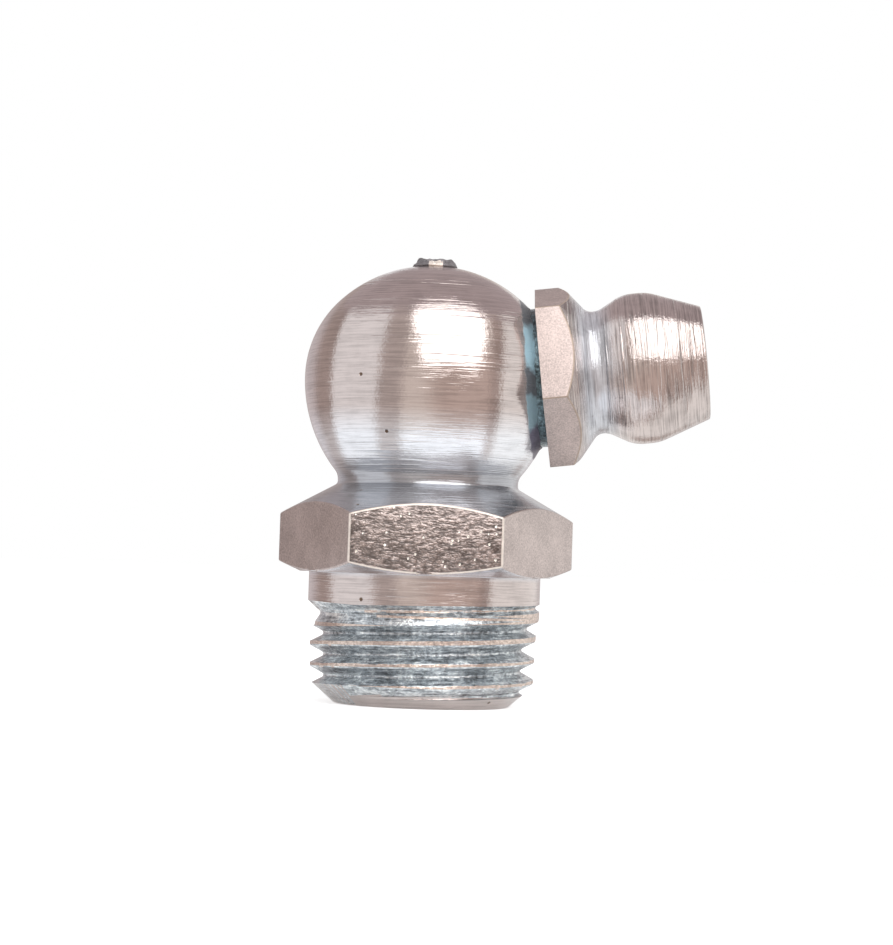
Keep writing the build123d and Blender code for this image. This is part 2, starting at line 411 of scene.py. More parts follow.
def mixed(tree, factor, first, second, blend="MIX"):
    """Two colours mixed by a factor."""
    node = tree.nodes.new("ShaderNodeMix")
    node.data_type = "RGBA"
    node.blend_type = blend
    link(tree, factor, node.inputs[0])
    for value, socket in zip((first, second), (node.inputs[6], node.inputs[7])):
        if isinstance(value, tuple):
            socket.default_value = (*value, 1)
        else:
            tree.links.new(value, socket)
    return node.outputs[2]


def shades(colour, *parts):
    """Stops of a ramp that goes through a colour at different strengths."""
    return [(position, scaled(colour, strength)) for position, strength in parts]


def noise_texture(tree, vector, scale, detail=3.0, roughness=0.6, around=None):
    """A noise texture, in four dimensions where a fourth place is given; returns its factor."""
    node = tree.nodes.new("ShaderNodeTexNoise")
    node.inputs["Scale"].default_value = scale
    node.inputs["Detail"].default_value = detail
    node.inputs["Roughness"].default_value = roughness
    tree.links.new(vector, node.inputs["Vector"])
    if around is not None:
        node.noise_dimensions = "4D"
        tree.links.new(around, node.inputs["W"])
    return node.outputs["Fac"]


def object_place(tree):
    """The place on the object, in metres."""
    return tree.nodes.new("ShaderNodeTexCoord").outputs["Object"]


def stretched(tree, vector, scale):
    """A place with each of its parts scaled, so that marks are drawn out where the scale is small."""
    node = tree.nodes.new("ShaderNodeMapping")
    node.inputs["Scale"].default_value = scale
    tree.links.new(vector, node.inputs["Vector"])
    return node.outputs["Vector"]


def bump(tree, shader, height, distance):
    """Adds a bump to the shader; a height of one stands out by the distance, in metres."""
    node = tree.nodes.new("ShaderNodeBump")
    node.inputs["Strength"].default_value = 1.0
    node.inputs["Distance"].default_value = distance
    tree.links.new(height, node.inputs["Height"])
    tree.links.new(node.outputs["Normal"], shader.inputs["Normal"])


def turning_coordinates(tree, height, lean, drawn_out):
    """Places about an axis that crosses Z at a height and leans from it.

    Returns the plain place, the height along the axis, and the place stretched around the axis as a
    vector and a fourth number, so that a noise gives rings with ends.
    """
    turn = tree.nodes.new("ShaderNodeMapping")
    turn.vector_type = "TEXTURE"
    turn.inputs["Location"].default_value = (0, 0, height * MILLIMETRE)
    turn.inputs["Rotation"].default_value = (0, math.radians(lean), 0)
    tree.links.new(object_place(tree), turn.inputs["Vector"])
    split = tree.nodes.new("ShaderNodeSeparateXYZ")
    tree.links.new(turn.outputs["Vector"], split.inputs[0])
    x, y, along = split.outputs
    square = math_node(tree, "MULTIPLY_ADD", x, x, math_node(tree, "MULTIPLY", y, y))
    rings = tree.nodes.new("ShaderNodeCombineXYZ")
    link(tree, math_node(tree, "SQRT", square), rings.inputs[0])
    link(tree, math_node(tree, "MULTIPLY", x, drawn_out), rings.inputs[1])
    link(tree, along, rings.inputs[2])
    return turn.outputs["Vector"], along, rings.outputs[0], math_node(tree, "MULTIPLY", y, drawn_out)


def pits(tree, vector, scale, size):
    """One in the middle of a few scattered small pits, and nought elsewhere."""
    node = tree.nodes.new("ShaderNodeTexVoronoi")
    node.inputs["Scale"].default_value = scale
    tree.links.new(vector, node.inputs["Vector"])
    split = tree.nodes.new("ShaderNodeSeparateColor")
    tree.links.new(node.outputs["Color"], split.inputs[0])
    chosen = step_up(tree, split.outputs[0], 0.62, 0.64)
    outside = step_up(tree, node.outputs["Distance"], size * 0.6, size)
    return math_node(tree, "MULTIPLY", chosen, math_node(tree, "SUBTRACT", 1.0, outside))


RAMP_LENGTH = 20  # millimetres along the axis that the ramps of a turned piece cover
PIT_COLOUR = (0.16, 0.11, 0.08)
TURNING_STRETCH = 0.035  # scale of the turning marks round the axis
THREAD_STRETCH = 0.16  # the same for the torn marks of a thread


def turned_metal(name, zones, relief, streaks, height=0.0, lean=0.0, painted_gap_teal=None):
    """Plated steel with turning marks of a depth in metres round an axis; perhaps painted reflection and
    shade on a seat.

    Its zones give, by the distance along the axis in millimetres, its colour and how matt its film is.
    """
    material, tree, shader = new_material(name)
    plain, along, rings, around = turning_coordinates(tree, height, lean, TURNING_STRETCH)
    fine = noise_texture(tree, rings, 15000, 2, 0.6, around)
    broad = noise_texture(tree, rings, 3000, 2, 0.5, around)
    ridge = step_up(tree, noise_texture(tree, rings, 5200, 1, 0.5, around), 0.6, 0.68)
    grain = noise_texture(tree, plain, 6500, 3, 0.6)
    cloud = noise_texture(tree, plain, 700, 4, 0.65)
    pit = pits(tree, plain, 900, 0.09)
    marks = weighted(tree, (fine, 1.0), (broad, 1.3), (ridge, 0.8), (grain, 0.5), (pit, -2.0))
    bump(tree, shader, marks, relief)
    share = math_node(tree, "MULTIPLY", along, 1 / (RAMP_LENGTH * MILLIMETRE))
    base = ramp(tree, share, [(at / RAMP_LENGTH, colour) for at, colour, _ in zones])
    film = ramp(tree, share, [(at / RAMP_LENGTH, (matt,) * 3) for at, _, matt in zones])
    tone = weighted(tree, (fine, 0.65), (cloud, 0.35))
    shade = ramp(tree, tone, shades((1, 1, 1), (0.38, streaks), (0.56, 1.0)))
    base = mixed(tree, 1.0, base, shade, "MULTIPLY")
    base = mixed(tree, pit, base, PIT_COLOUR)
    # Paints a reflection and a shade onto the ring of the ball behind the collar
    if painted_gap_teal:
        seat = painted_seat_mask(tree)
        base = mixed(tree, seat, base, painted_gap_patches(tree, plain, share, painted_gap_teal))
        film = mixed(tree, seat, film, PAINTED_SEAT_FILM)
    tree.links.new(base, shader.inputs["Base Color"])
    tree.links.new(weighted(tree, (fine, 0.12), (cloud, 0.12), (film, 0.3)), shader.inputs["Roughness"])
    tree.links.new(math_node(tree, "SUBTRACT", 1.0, film), shader.inputs["Metallic"])
    return material


# Painted shade in the gap behind the collar, in grey and dusky patches beside the teal painted reflection
GAP_SHADE_GREY = (0.13, 0.14, 0.155)
GAP_SHADE_DUSK = (0.15, 0.14, 0.19)
PAINTED_SEAT_FILM = (0.75, 0.75, 0.75)
PATCH_WANDER = 0.07  # share of the ramp that the patches' limits wander over
SEAT_WANDER = 0.0003  # metres that the painted seat's edge wanders
SEAT_REACH = (0.0037, 0.0036)  # metres from the head's axis to where the painted seat ends and where it is full
SEAT_START = (0.003, 0.0032)  # metres along that axis to where the painted seat starts and where it is full


def painted_gap_patches(tree, plain, share, painted_gap_teal):
    """Colour of the seat: patches of painted shade and painted reflection over each other, with wandering
    limits.
    """
    wander = noise_texture(tree, plain, 900, 3, 0.6)
    patch = weighted(tree, (share, 1.0), (wander, PATCH_WANDER), (1.0, -PATCH_WANDER / 2))
    pale = scaled(painted_gap_teal, 0.72)
    stops = [
        (0.595, GAP_SHADE_DUSK),
        (0.61, pale),
        (0.66, pale),
        (0.672, GAP_SHADE_GREY),
        (0.715, GAP_SHADE_GREY),
        (0.73, painted_gap_teal),
        (0.8, painted_gap_teal),
        (0.815, GAP_SHADE_GREY),
    ]
    return ramp(tree, patch, stops)


def painted_seat_mask(tree):
    """One on the ring of the ball behind the collar, and nought elsewhere."""
    plain, along, rings, _ = turning_coordinates(tree, BRANCH_HEIGHT, 90 - HEAD_AXIS_RISE, 1.0)
    wander = noise_texture(tree, plain, 1500, 2, 0.5)
    parts = tree.nodes.new("ShaderNodeSeparateXYZ")
    tree.links.new(rings, parts.inputs[0])
    out = weighted(tree, (parts.outputs[0], 1.0), (wander, SEAT_WANDER))
    inside = step_up(tree, out, *SEAT_REACH)
    return math_node(tree, "MULTIPLY", inside, step_up(tree, along, *SEAT_START))


def grained_metal(name, colour, scale, stretch, relief, roughness, metallic=1.0):
    """Plated steel with a grain, which may be stretched, in its height, colour and gloss."""
    material, tree, shader = new_material(name)
    shader.inputs["Metallic"].default_value = metallic
    plain = object_place(tree)
    grain = noise_texture(tree, stretched(tree, plain, stretch), scale, 3, 0.6)
    cloud = noise_texture(tree, plain, 800, 3, 0.6)
    bump(tree, shader, grain, relief)
    tone = weighted(tree, (grain, 0.72), (cloud, 0.28))
    stops = shades(colour, (0.38, 0.75), (0.5, 1.0), (0.62, 1.25))
    tree.links.new(ramp(tree, tone, stops), shader.inputs["Base Color"])
    rough = weighted(tree, (grain, 0.16), (cloud, 0.04), (1.0, roughness - 0.07))
    tree.links.new(rough, shader.inputs["Roughness"])
    return material


def drawn_flat(name, colour):
    """Coarse flat of drawn bar, with short marks across it and a few specks of painted glint."""
    material, tree, shader = new_material(name)
    plain = object_place(tree)
    mark = noise_texture(tree, stretched(tree, plain, (0.4, 0.4, 1)), 8200, 2, 0.7)
    blotch = noise_texture(tree, plain, 1500, 3, 0.6)
    speck = pits(tree, plain, 3300, 0.24)
    bump(tree, shader, weighted(tree, (mark, 1.0), (speck, -0.5)), 0.000045)
    stops = shades(colour, (0.36, 0.52), (0.46, 0.74), (0.53, 1.08), (0.6, 1.5))
    shade = ramp(tree, blotch, shades((1, 1, 1), (0.4, 0.75), (0.6, 1.0)))
    base = mixed(tree, 1.0, ramp(tree, mark, stops), shade, "MULTIPLY")
    # Painted glints: a few specks in near white
    tree.links.new(mixed(tree, speck, base, (1.0, 0.96, 0.88)), shader.inputs["Base Color"])
    tree.links.new(weighted(tree, (mark, 0.2), (1.0, 0.12)), shader.inputs["Roughness"])
    return material


def thread_metal(name, colour):
    """Cut thread with a bluish plating and torn flanks."""
    material, tree, shader = new_material(name)
    shader.inputs["Metallic"].default_value = 0.85
    plain, _, rings, around = turning_coordinates(tree, 0, 0, THREAD_STRETCH)
    tear = noise_texture(tree, rings, 6500, 4, 0.7, around)
    speck = noise_texture(tree, plain, 5200, 3, 0.7)
    bump(tree, shader, weighted(tree, (tear, 1.0), (speck, 1.0)), 0.00003)
    stops = shades(colour, (0.38, 0.16), (0.5, 0.85), (0.6, 1.6))
    tone = weighted(tree, (tear, 0.6), (speck, 0.4))
    tree.links.new(ramp(tree, tone, stops), shader.inputs["Base Color"])
    tree.links.new(weighted(tree, (speck, 0.3), (1.0, 0.06)), shader.inputs["Roughness"])
    return material


def plain_metal(name, colour, roughness, metallic=1.0):
    """Polished or drawn steel, or a painted highlight, with a slight grain."""
    material, tree, shader = new_material(name)
    shader.inputs["Metallic"].default_value = metallic
    grain = noise_texture(tree, object_place(tree), 3000)
    tone = ramp(tree, grain, shades(colour, (0.3, 0.85), (0.7, 1.1)))
    tree.links.new(tone, shader.inputs["Base Color"])
    bump(tree, shader, grain, 0.000002)
    shader.inputs["Roughness"].default_value = roughness
    return material


def body_zones(finish):
    """Colour and film of the body by height in millimetres.

    The lead chamfer is a little darker, a painted shade. The hexagon's cones are bluish and dull, and darker
    with painted shade under the ball. The hollow under the ball is bluish, and brighter with a painted
    highlight.
    """
    warm, cold = tuple(finish.zinc), tuple(finish.passivated)
    # Darker and brighter copies of the bluish plating: painted shade and painted highlight
    painted_shade_blue, painted_highlight_blue = scaled(cold, 0.66), scaled(cold, 1.24)
    return [
        # painted shade: the lead chamfer is a darker copy of the warm zinc
        (0.8, scaled(warm, 0.84), 0.1),
        (1.2, warm, 0),
        (5.4, warm, 0),
        (5.7, cold, 0.15),
        # painted shade over the hexagon's cones and the neck, under the ball
        (6.2, painted_shade_blue, 0.15),
        (9.8, painted_shade_blue, 0.15),
        # painted highlight on the ball's underside over the neck
        (10.6, painted_highlight_blue, 0.2),
        (11.4, painted_highlight_blue, 0.15),
        (12.6, warm, 0),
    ]


def head_zones(finish):
    """Colour and film of the head by distance in millimetres from the body's axis: darker on the collar's
    cone, a painted shade, and bluish in its neck.
    """
    warm, cold = tuple(finish.zinc), tuple(finish.passivated)
    # painted shade: the collar's cone is a darker copy of the warm zinc
    cone, neck = scaled(warm, 0.82), scaled(cold, 0.92)
    return [
        (4.8, warm, 0),
        (5.9, cone, 0),
        (6.3, cone, 0),
        (6.7, neck, 0.35),
        (7.4, neck, 0.35),
        (8.1, warm, 0),
    ]


# ---------------------------------------------------------------- elbow body


# Lengths in millimetres and angles in degrees, from the thread's end upwards
BORE_CHAMFER = 0.2
BORE_POINT_ANGLE = 59  # half the angle of the drill's point
THREAD_END_RADIUS = 3.75
LEAD_TOP = (4.814, 0.9)  # radius and height where the lead chamfer meets the thread's crests
CRESTS_TOP = (4.886, 3.2)  # radius and height where the crests end
SHOULDER_START = 3.9
HEX_BASE = 5.6
HEX_SEAT_INSET = 0.1  # of the turned seat under the hexagon, from its flats
HEX_LOWER_ANGLE = 24
HEX_UPPER_ANGLE = 29
HEX_EDGE_LENGTH = 2.03
NECK_LENGTH = 0.43
BALL_RISE = 4.17  # from the neck's top to the ball's equator
CROWN_RISE = 4.96  # from the equator to the crown
CROWN_END_ANGLE = 81.0  # where the crown meets the pip's foot
# Roundings by their corner's place in the stem's outline: rims of the end and the shoulder, neck's foot
STEM_SOFTENING = {4: 0.07, 8: 0.03, 12: 0.12}
BALL_CREASE = 0.24  # rounding between the neck and the ball

# What is left where the bar was parted off, as radius and rise over the crown
PIP = (
    (0.97, -0.02),
    (0.93, 0.05),
    (0.87, 0.1),
    (0.81, 0.14),
    (0.78, 0.21),
    (0.74, 0.28),
    (0.66, 0.3),
    (0.58, 0.25),
    (0.46, 0.21),
    (0.3, 0.2),
    (0.15, 0.2),
    (0, 0.2),
)
PIP_FOOT = 18.9  # height over which the pip is torn
PIP_TORN_RADIUS = 0.95
PIP_SEED = 3  # of the noise that tears it, which would else be another one in each run

# Height of the groove's root at +X: it is 2.05 at 184 degrees round, and one turn rises by 0.907
THREAD_PHASE = 2.05 - 0.907 * 184 / 360
THREAD_GAUGE_HEIGHT = 2.5
THREAD_GAUGE_RADIUS = 4.864  # of the crests, at the gauge height
THREAD_DEPTH = 0.58
THREAD_BEFORE_END = 0.35  # turns that the groove starts below the end
THREAD_FINISH = 4.62  # height at which the groove stops
# How far the groove's root is lifted, as height and lift
THREAD_LIFTS = ((-1, 0), (2.95, 0), (3.42, 0.17), (3.87, 0.2), (4.3, 0.47), (4.7, 0.85))

# Off-centre groove of the thread tool's run-out, as radius and height
RUN_OUT = (
    (6.5, 3.2),
    (5.1, 3.22),
    (4.97, 3.3),
    (4.94, 3.46),
    (4.74, 3.78),
    (4.74, 3.88),
    (5.28, 4.36),
    (6.5, 5.44),
)
RUN_OUT_OFFSET = (0.279, 0.02, 0)

HOLE_MOUTH_RADIUS = 3.02
HOLE_END_RADIUS = 2.911
HOLE_DEPTH = 3.5
HOLE_POINT_DEPTH = 5.249
HOLE_CLEARANCE = 1.5  # that the cutter of the hole stands out of its mouth
BURR_HEIGHT = 0.11

# Places of the finishes in the body's list of materials
TURNED, PAINTED_SHADE_FLAT, SIDE_FLAT, PAINTED_HIGHLIGHT, THREAD, CREST, TORN = range(7)
# Broken edges beside the front and back flats get a painted highlight
FRONT_EDGE_FACING = 0.65  # share of a broken edge's normal that faces as the front or back flat does


def body_outline(sizes):
    """Half outline of the body, from the blind end of its bore round the outside to the pip."""
    mm = 1 / MILLIMETRE
    shoulder = sizes.shoulder_radius * mm
    neck = sizes.neck_radius * mm
    ball = sizes.ball_radius * mm
    bore = sizes.bore_radius * mm
    seat = sizes.across_flats * mm / 2 - HEX_SEAT_INSET
    corner = sizes.across_flats * mm / math.sqrt(3)
    over = corner + HEX_OVERLAP
    lower = math.tan(math.radians(HEX_LOWER_ANGLE))
    upper = math.tan(math.radians(HEX_UPPER_ANGLE))
    corner_base = HEX_BASE + (corner - seat) * lower
    corner_top = corner_base + HEX_EDGE_LENGTH
    hex_top = corner_top + (corner - neck) * upper
    neck_top = hex_top + NECK_LENGTH
    equator = neck_top + BALL_RISE
    drill = bore / math.tan(math.radians(BORE_POINT_ANGLE))
    stem = [
        (0, BRANCH_HEIGHT),
        (bore, BRANCH_HEIGHT - drill),
        (bore, BORE_CHAMFER),
        (bore + BORE_CHAMFER, 0),
        (THREAD_END_RADIUS, 0),
        LEAD_TOP,
        CRESTS_TOP,
        (shoulder, SHOULDER_START),
        (shoulder, HEX_BASE),
        (seat, HEX_BASE),
        (over, corner_base + HEX_OVERLAP * lower),
        (over, corner_top - HEX_OVERLAP * upper),
        (neck, hex_top),
        (neck, neck_top),
    ]
    stem = softened(stem, STEM_SOFTENING, 4)
    inset = ball - neck
    side_arc = (inset**2 + BALL_RISE**2) / (2 * inset)
    start = -math.degrees(math.asin(BALL_RISE / side_arc))
    side = arc((ball - side_arc, equator), side_arc, start, 0, 44)
    creased = 3  # points of the ball's side that the crease takes the place of
    crease = eased(stem[-2], stem[-1], side[creased], BALL_CREASE, 8)
    outer, cap = crown_arcs(ball, CROWN_RISE)
    crown = arc((ball - outer, equator), outer, 0, 45, 26)
    crown += arc((0, equator + CROWN_RISE - cap), cap, 45, CROWN_END_ANGLE, 22)[1:]
    top = equator + CROWN_RISE
    pip = [(out, top + rise) for out, rise in PIP]
    return stem[:-1] + crease + side[creased:] + crown[1:] + pip


def crown_arcs(run, rise):
    """Radii of the two arcs, joined halfway, that go from upright at the equator to level at the top."""
    half = math.sqrt(0.5)
    outer = (rise * half - run * (1 - half)) / (2 * half - 1)
    return outer, (run * half - rise * (1 - half)) / (2 * half - 1)


def body_thread(sizes):
    """The groove of the right-hand taper thread, which lifts out under the shoulder."""
    pitch = sizes.thread_pitch / MILLIMETRE
    section = groove_section(pitch, crest_flat=0.055, root_arc=0.1, half_angle=28, depth=0.6, reach=0.9)
    first = -THREAD_BEFORE_END * pitch - THREAD_PHASE
    last = THREAD_FINISH - THREAD_PHASE

    def root(height):
        rise = height + THREAD_PHASE
        low, high = next((a, b) for a, b in zip(THREAD_LIFTS, THREAD_LIFTS[1:]) if rise <= b[0])
        share = max(0, (rise - low[0]) / (high[0] - low[0]))
        lift = low[1] + (high[1] - low[1]) * share
        crests = THREAD_GAUGE_RADIUS + (rise - THREAD_GAUGE_HEIGHT) * THREAD_TAPER
        return crests - THREAD_DEPTH + lift

    start = math.tau * first / pitch
    turns = (last - first) / pitch
    tool = helix_cutter("thread_cutter", section, pitch, start, turns, root, steps=144, wear=0.014)
    place(tool, Matrix.Translation((0, 0, THREAD_PHASE)))
    return tool


class NIPPLE_OT_elbow_body(bpy.types.Operator):
    """Models the elbow body: taper thread, shoulder, hexagon, neck and drilled ball"""

    bl_idname = "nipple.elbow_body"
    bl_label = "Elbow Body"

    def execute(self, context):
        sizes = context.scene.nipple_body
        finish = context.scene.nipple_finish
        body = turned("elbow_body_turned", body_outline(sizes), clocking=BODY_CLOCKING)
        bar = hexagon_prism(sizes.across_flats / MILLIMETRE, BODY_CLOCKING, bottom=-1, top=20)
        cut(body, bar, "INTERSECT")
        break_edges(body, low=5.65, high=9.3, out=5.45, width=0.06)
        cut(body, self.relief())
        cut(body, body_thread(sizes))
        cut(body, self.branch_hole())
        self.tear_pip(body)
        self.raise_burr(body)
        mark_by(body, self.finish_index)
        smooth(body)
        zones = body_zones(finish)
        materials = [
            # The ball's seat behind the collar gets the painted reflection and shade
            turned_metal("plated_turned_body", zones, 0.000013, 0.76, painted_gap_teal=tuple(finish.painted_gap_teal)),
            # Painted shade: the front and back flats are darker copies of the bar's colour than the side
            # flats
            drawn_flat("front_flat_painted_shade", scaled(finish.bar, 0.68)),
            grained_metal("plated_side_flats", finish.bar, 15000, (1, 1, 1), 0.000008, 0.3),
            # Painted highlight: cream on the broken edges beside the front and back flats and on the pip's
            # front facet
            plain_metal("painted_highlight_edges", (0.86, 0.77, 0.70), 0.3, 0.3),
            thread_metal("plated_thread", finish.thread),
            grained_metal("torn_thread_crests", finish.torn, 9000, (0.6, 0.6, 1), 0.00003, 0.22),
            grained_metal("torn_pip", (0.21, 0.20, 0.21), 7000, (1, 1, 1), 0.00006, 0.4, 0.5),
        ]
        finish_piece(body, "fitting", "elbow_body", materials)
        return {"FINISHED"}

    def finish_index(self, centre, normal):
        """Which of the body's finishes a face has."""
        out = centre.to_2d().length
        on_pip = centre.z > PIP_FOOT and out < 0.99
        in_thread = 0.02 < centre.z < 4.5 and out > 2.2
        on_hexagon = 5.62 < centre.z < 9.3 and out > 5.2
        if on_pip:
            # painted highlight on the pip's facet that faces the front
            painted_highlight_facet = normal.y < -0.3 and centre.z < 19.14 and abs(centre.x - 0.09) < 0.3
            return PAINTED_HIGHLIGHT if painted_highlight_facet else TORN
        if in_thread:
            on_crest = out > 4.62 and abs(normal.z) < 0.35 and centre.z > 0.8
            if on_crest:
                return CREST
            return THREAD if centre.z > 0.55 else TURNED
        if on_hexagon:
            facing = [normal.dot(flat) for flat in flat_directions(BODY_CLOCKING)]
            back, front = facing[2], facing[5]
            if max(facing) > FLAT_FACING:
                # the front and back flats get the darker flat, a painted shade
                return PAINTED_SHADE_FLAT if max(facing) in (back, front) else SIDE_FLAT
            over_cone = slant(normal) - (90 - HEX_UPPER_ANGLE)
            under_cone = slant(normal) + (90 - HEX_LOWER_ANGLE)
            if min(abs(over_cone), abs(under_cone)) >= CONE_SLACK:
                # edges beside the front or back flat get the painted highlight
                return PAINTED_HIGHLIGHT if max(back, front) > FRONT_EDGE_FACING else SIDE_FLAT
        return TURNED

    def relief(self):
        """A shallow off-centre groove where the thread tool was backed out."""
        tool = turned("relief_cutter", RUN_OUT + RUN_OUT[:1], 128)
        place(tool, Matrix.Translation(RUN_OUT_OFFSET))
        return tool

    def branch_hole(self):
        """Tapered hole for the head's shank with its drill point."""
        outline = [
            (0, -HOLE_POINT_DEPTH),
            (HOLE_END_RADIUS, -HOLE_DEPTH),
            (HOLE_MOUTH_RADIUS, 0),
            (HOLE_MOUTH_RADIUS, HOLE_CLEARANCE),
            (0, HOLE_CLEARANCE),
        ]
        tool = turned("branch_hole_cutter", outline, 160)
        place(tool, branch_matrix(COLLAR_SEAT))
        return tool

    def tear_pip(self, body):
        """Roughens the pip that is left where the bar was parted off."""
        noise.seed_set(PIP_SEED)
        for vertex in body.data.vertices:
            out = vertex.co.to_2d().length
            if out < PIP_TORN_RADIUS and vertex.co.z > PIP_FOOT:
                rough = noise.noise_vector(vertex.co * 2.1) + noise.noise_vector(vertex.co * 5.0) * 0.45
                torn = min(1, (PIP_TORN_RADIUS - out) * 6)
                vertex.co += Vector((rough.x * 0.07, rough.y * 0.07, rough.z * 0.12)) * torn

    def raise_burr(self, body):
        """Leaves a small uneven burr round the mouth of the branch hole."""
        inward = branch_matrix(0).inverted()
        axis = branch_matrix(0).to_3x3() @ Vector((0, 0, 1))
        for vertex in body.data.vertices:
            local = inward @ vertex.co
            near_mouth = local.z > 3.5 and abs(local.to_2d().length - HOLE_MOUTH_RADIUS) < 0.02
            if near_mouth:
                turn = math.atan2(local.y, local.x)
                lip = noise.noise(Vector((math.cos(turn), math.sin(turn), 0)) * 5) + 0.25
                vertex.co += axis * BURR_HEIGHT * max(0, lip)


# ---------------------------------------------------------------- nipple head


# Lengths in millimetres and angles in degrees, along the head's axis from the collar's seat
COLLAR_EDGE_LENGTH = 1.03
COLLAR_CONE_ANGLE = 51
COLLAR_FILLET = 0.5  # between the collar's cone and the neck
NECK_DEPTH = 0.61  # of the neck under the head's radius
NECK_FILLET = 0.85
FLANK_ANGLE = 29
FLANK_FILLET = 1.6
LAND_LENGTH = 0.3
FRONT_FILLET = 2.0
FRONT_ANGLE = 20
FRONT_LENGTH = 2.59
INLET_RADIUS = 0.8
INLET_MOUTH_RADIUS = 0.95
INLET_MOUTH_DEPTH = 0.15
VALVE_SEAT_START = 0.35  # under the tip
VALVE_SEAT_END = 0.95
VALVE_BORE_RADIUS = 1.4
LIP_RADIUS = 0.95
LIP_START = -2.8
SHANK_END = -3.2
SHANK_RADIUS = 3.0
SHANK_CHAMFER = ((2.55, SHANK_END), (2.9, -2.85))
# Roundings by their corner's place in the outline: rims of the tip and of its inlet
TIP_SOFTENING = {1: 0.05, 2: 0.03}

# Groove of the shank's thread, which is lifted out before it reaches the collar
SHANK_ROOT_RADIUS = 2.45
SHANK_THREAD_START = 3.7  # under the collar's seat
SHANK_THREAD_LENGTH = 3.15
SHANK_LIFT = 0.62
SHANK_LIFT_START = 0.85  # under the collar's seat
SHANK_LIFT_LENGTH = 0.25

# Places of the finishes in the head's list of materials, after the turned metal
COLLAR_FLAT, COLLAR_EDGE, SHANK_THREAD, COLLAR_BACK = range(1, 5)


def head_outline(sizes):
    """Half outline of the head, from its front cone through the passage and round the outside back to it."""
    radius = sizes.head_radius / MILLIMETRE
    corner = sizes.across_flats / MILLIMETRE / math.sqrt(3)
    over = corner + HEX_OVERLAP
    neck = radius - NECK_DEPTH
    cone = math.radians(COLLAR_CONE_ANGLE)
    top = COLLAR_EDGE_LENGTH - HEX_OVERLAP / math.tan(cone)
    drop = over - neck - COLLAR_FILLET * (1 - math.cos(cone))
    cone_end = (over - drop, top + drop / math.tan(cone))
    hollow_middle = (neck + COLLAR_FILLET, cone_end[1] + COLLAR_FILLET * math.sin(cone))
    hollow = arc(hollow_middle, COLLAR_FILLET, 180 + COLLAR_CONE_ANGLE, 180, 8)
    floor = hollow[-1]
    flank = math.radians(FLANK_ANGLE)
    hollow_out = arc((floor[0] + NECK_FILLET, floor[1]), NECK_FILLET, 180, 180 - FLANK_ANGLE, 6)
    rise = NECK_DEPTH - (NECK_FILLET + FLANK_FILLET) * (1 - math.cos(flank))
    start = hollow_out[-1]
    flank_end = (start[0] + rise, start[1] + rise / math.tan(flank))
    shoulder_middle = (radius - FLANK_FILLET, flank_end[1] + FLANK_FILLET * math.sin(flank))
    shoulder = arc(shoulder_middle, FLANK_FILLET, -FLANK_ANGLE, 0, 8)
    land = (radius, shoulder[-1][1] + LAND_LENGTH)
    front = arc((radius - FRONT_FILLET, land[1]), FRONT_FILLET, 0, FRONT_ANGLE, 8)
    lean = math.radians(FRONT_ANGLE)
    run = FRONT_LENGTH - FRONT_FILLET * math.sin(lean)
    tip = (front[-1][0] - run * math.tan(lean), front[-1][1] + run)
    rim = [
        front[-1],
        tip,
        (INLET_MOUTH_RADIUS, tip[1]),
        (INLET_RADIUS, tip[1] - INLET_MOUTH_DEPTH),
        (INLET_RADIUS, tip[1] - VALVE_SEAT_START),
        (VALVE_BORE_RADIUS, tip[1] - VALVE_SEAT_END),
        (VALVE_BORE_RADIUS, LIP_START),
        (LIP_RADIUS, LIP_START),
        (LIP_RADIUS, SHANK_END),
        *SHANK_CHAMFER,
        (SHANK_RADIUS, 0),
        (over, 0),
        (over, top),
        cone_end,
    ]
    rim = softened(rim, TIP_SOFTENING, 3)
    return rim[:-1] + hollow + hollow_out[1:-1] + [start] + shoulder + [land] + front[1:]


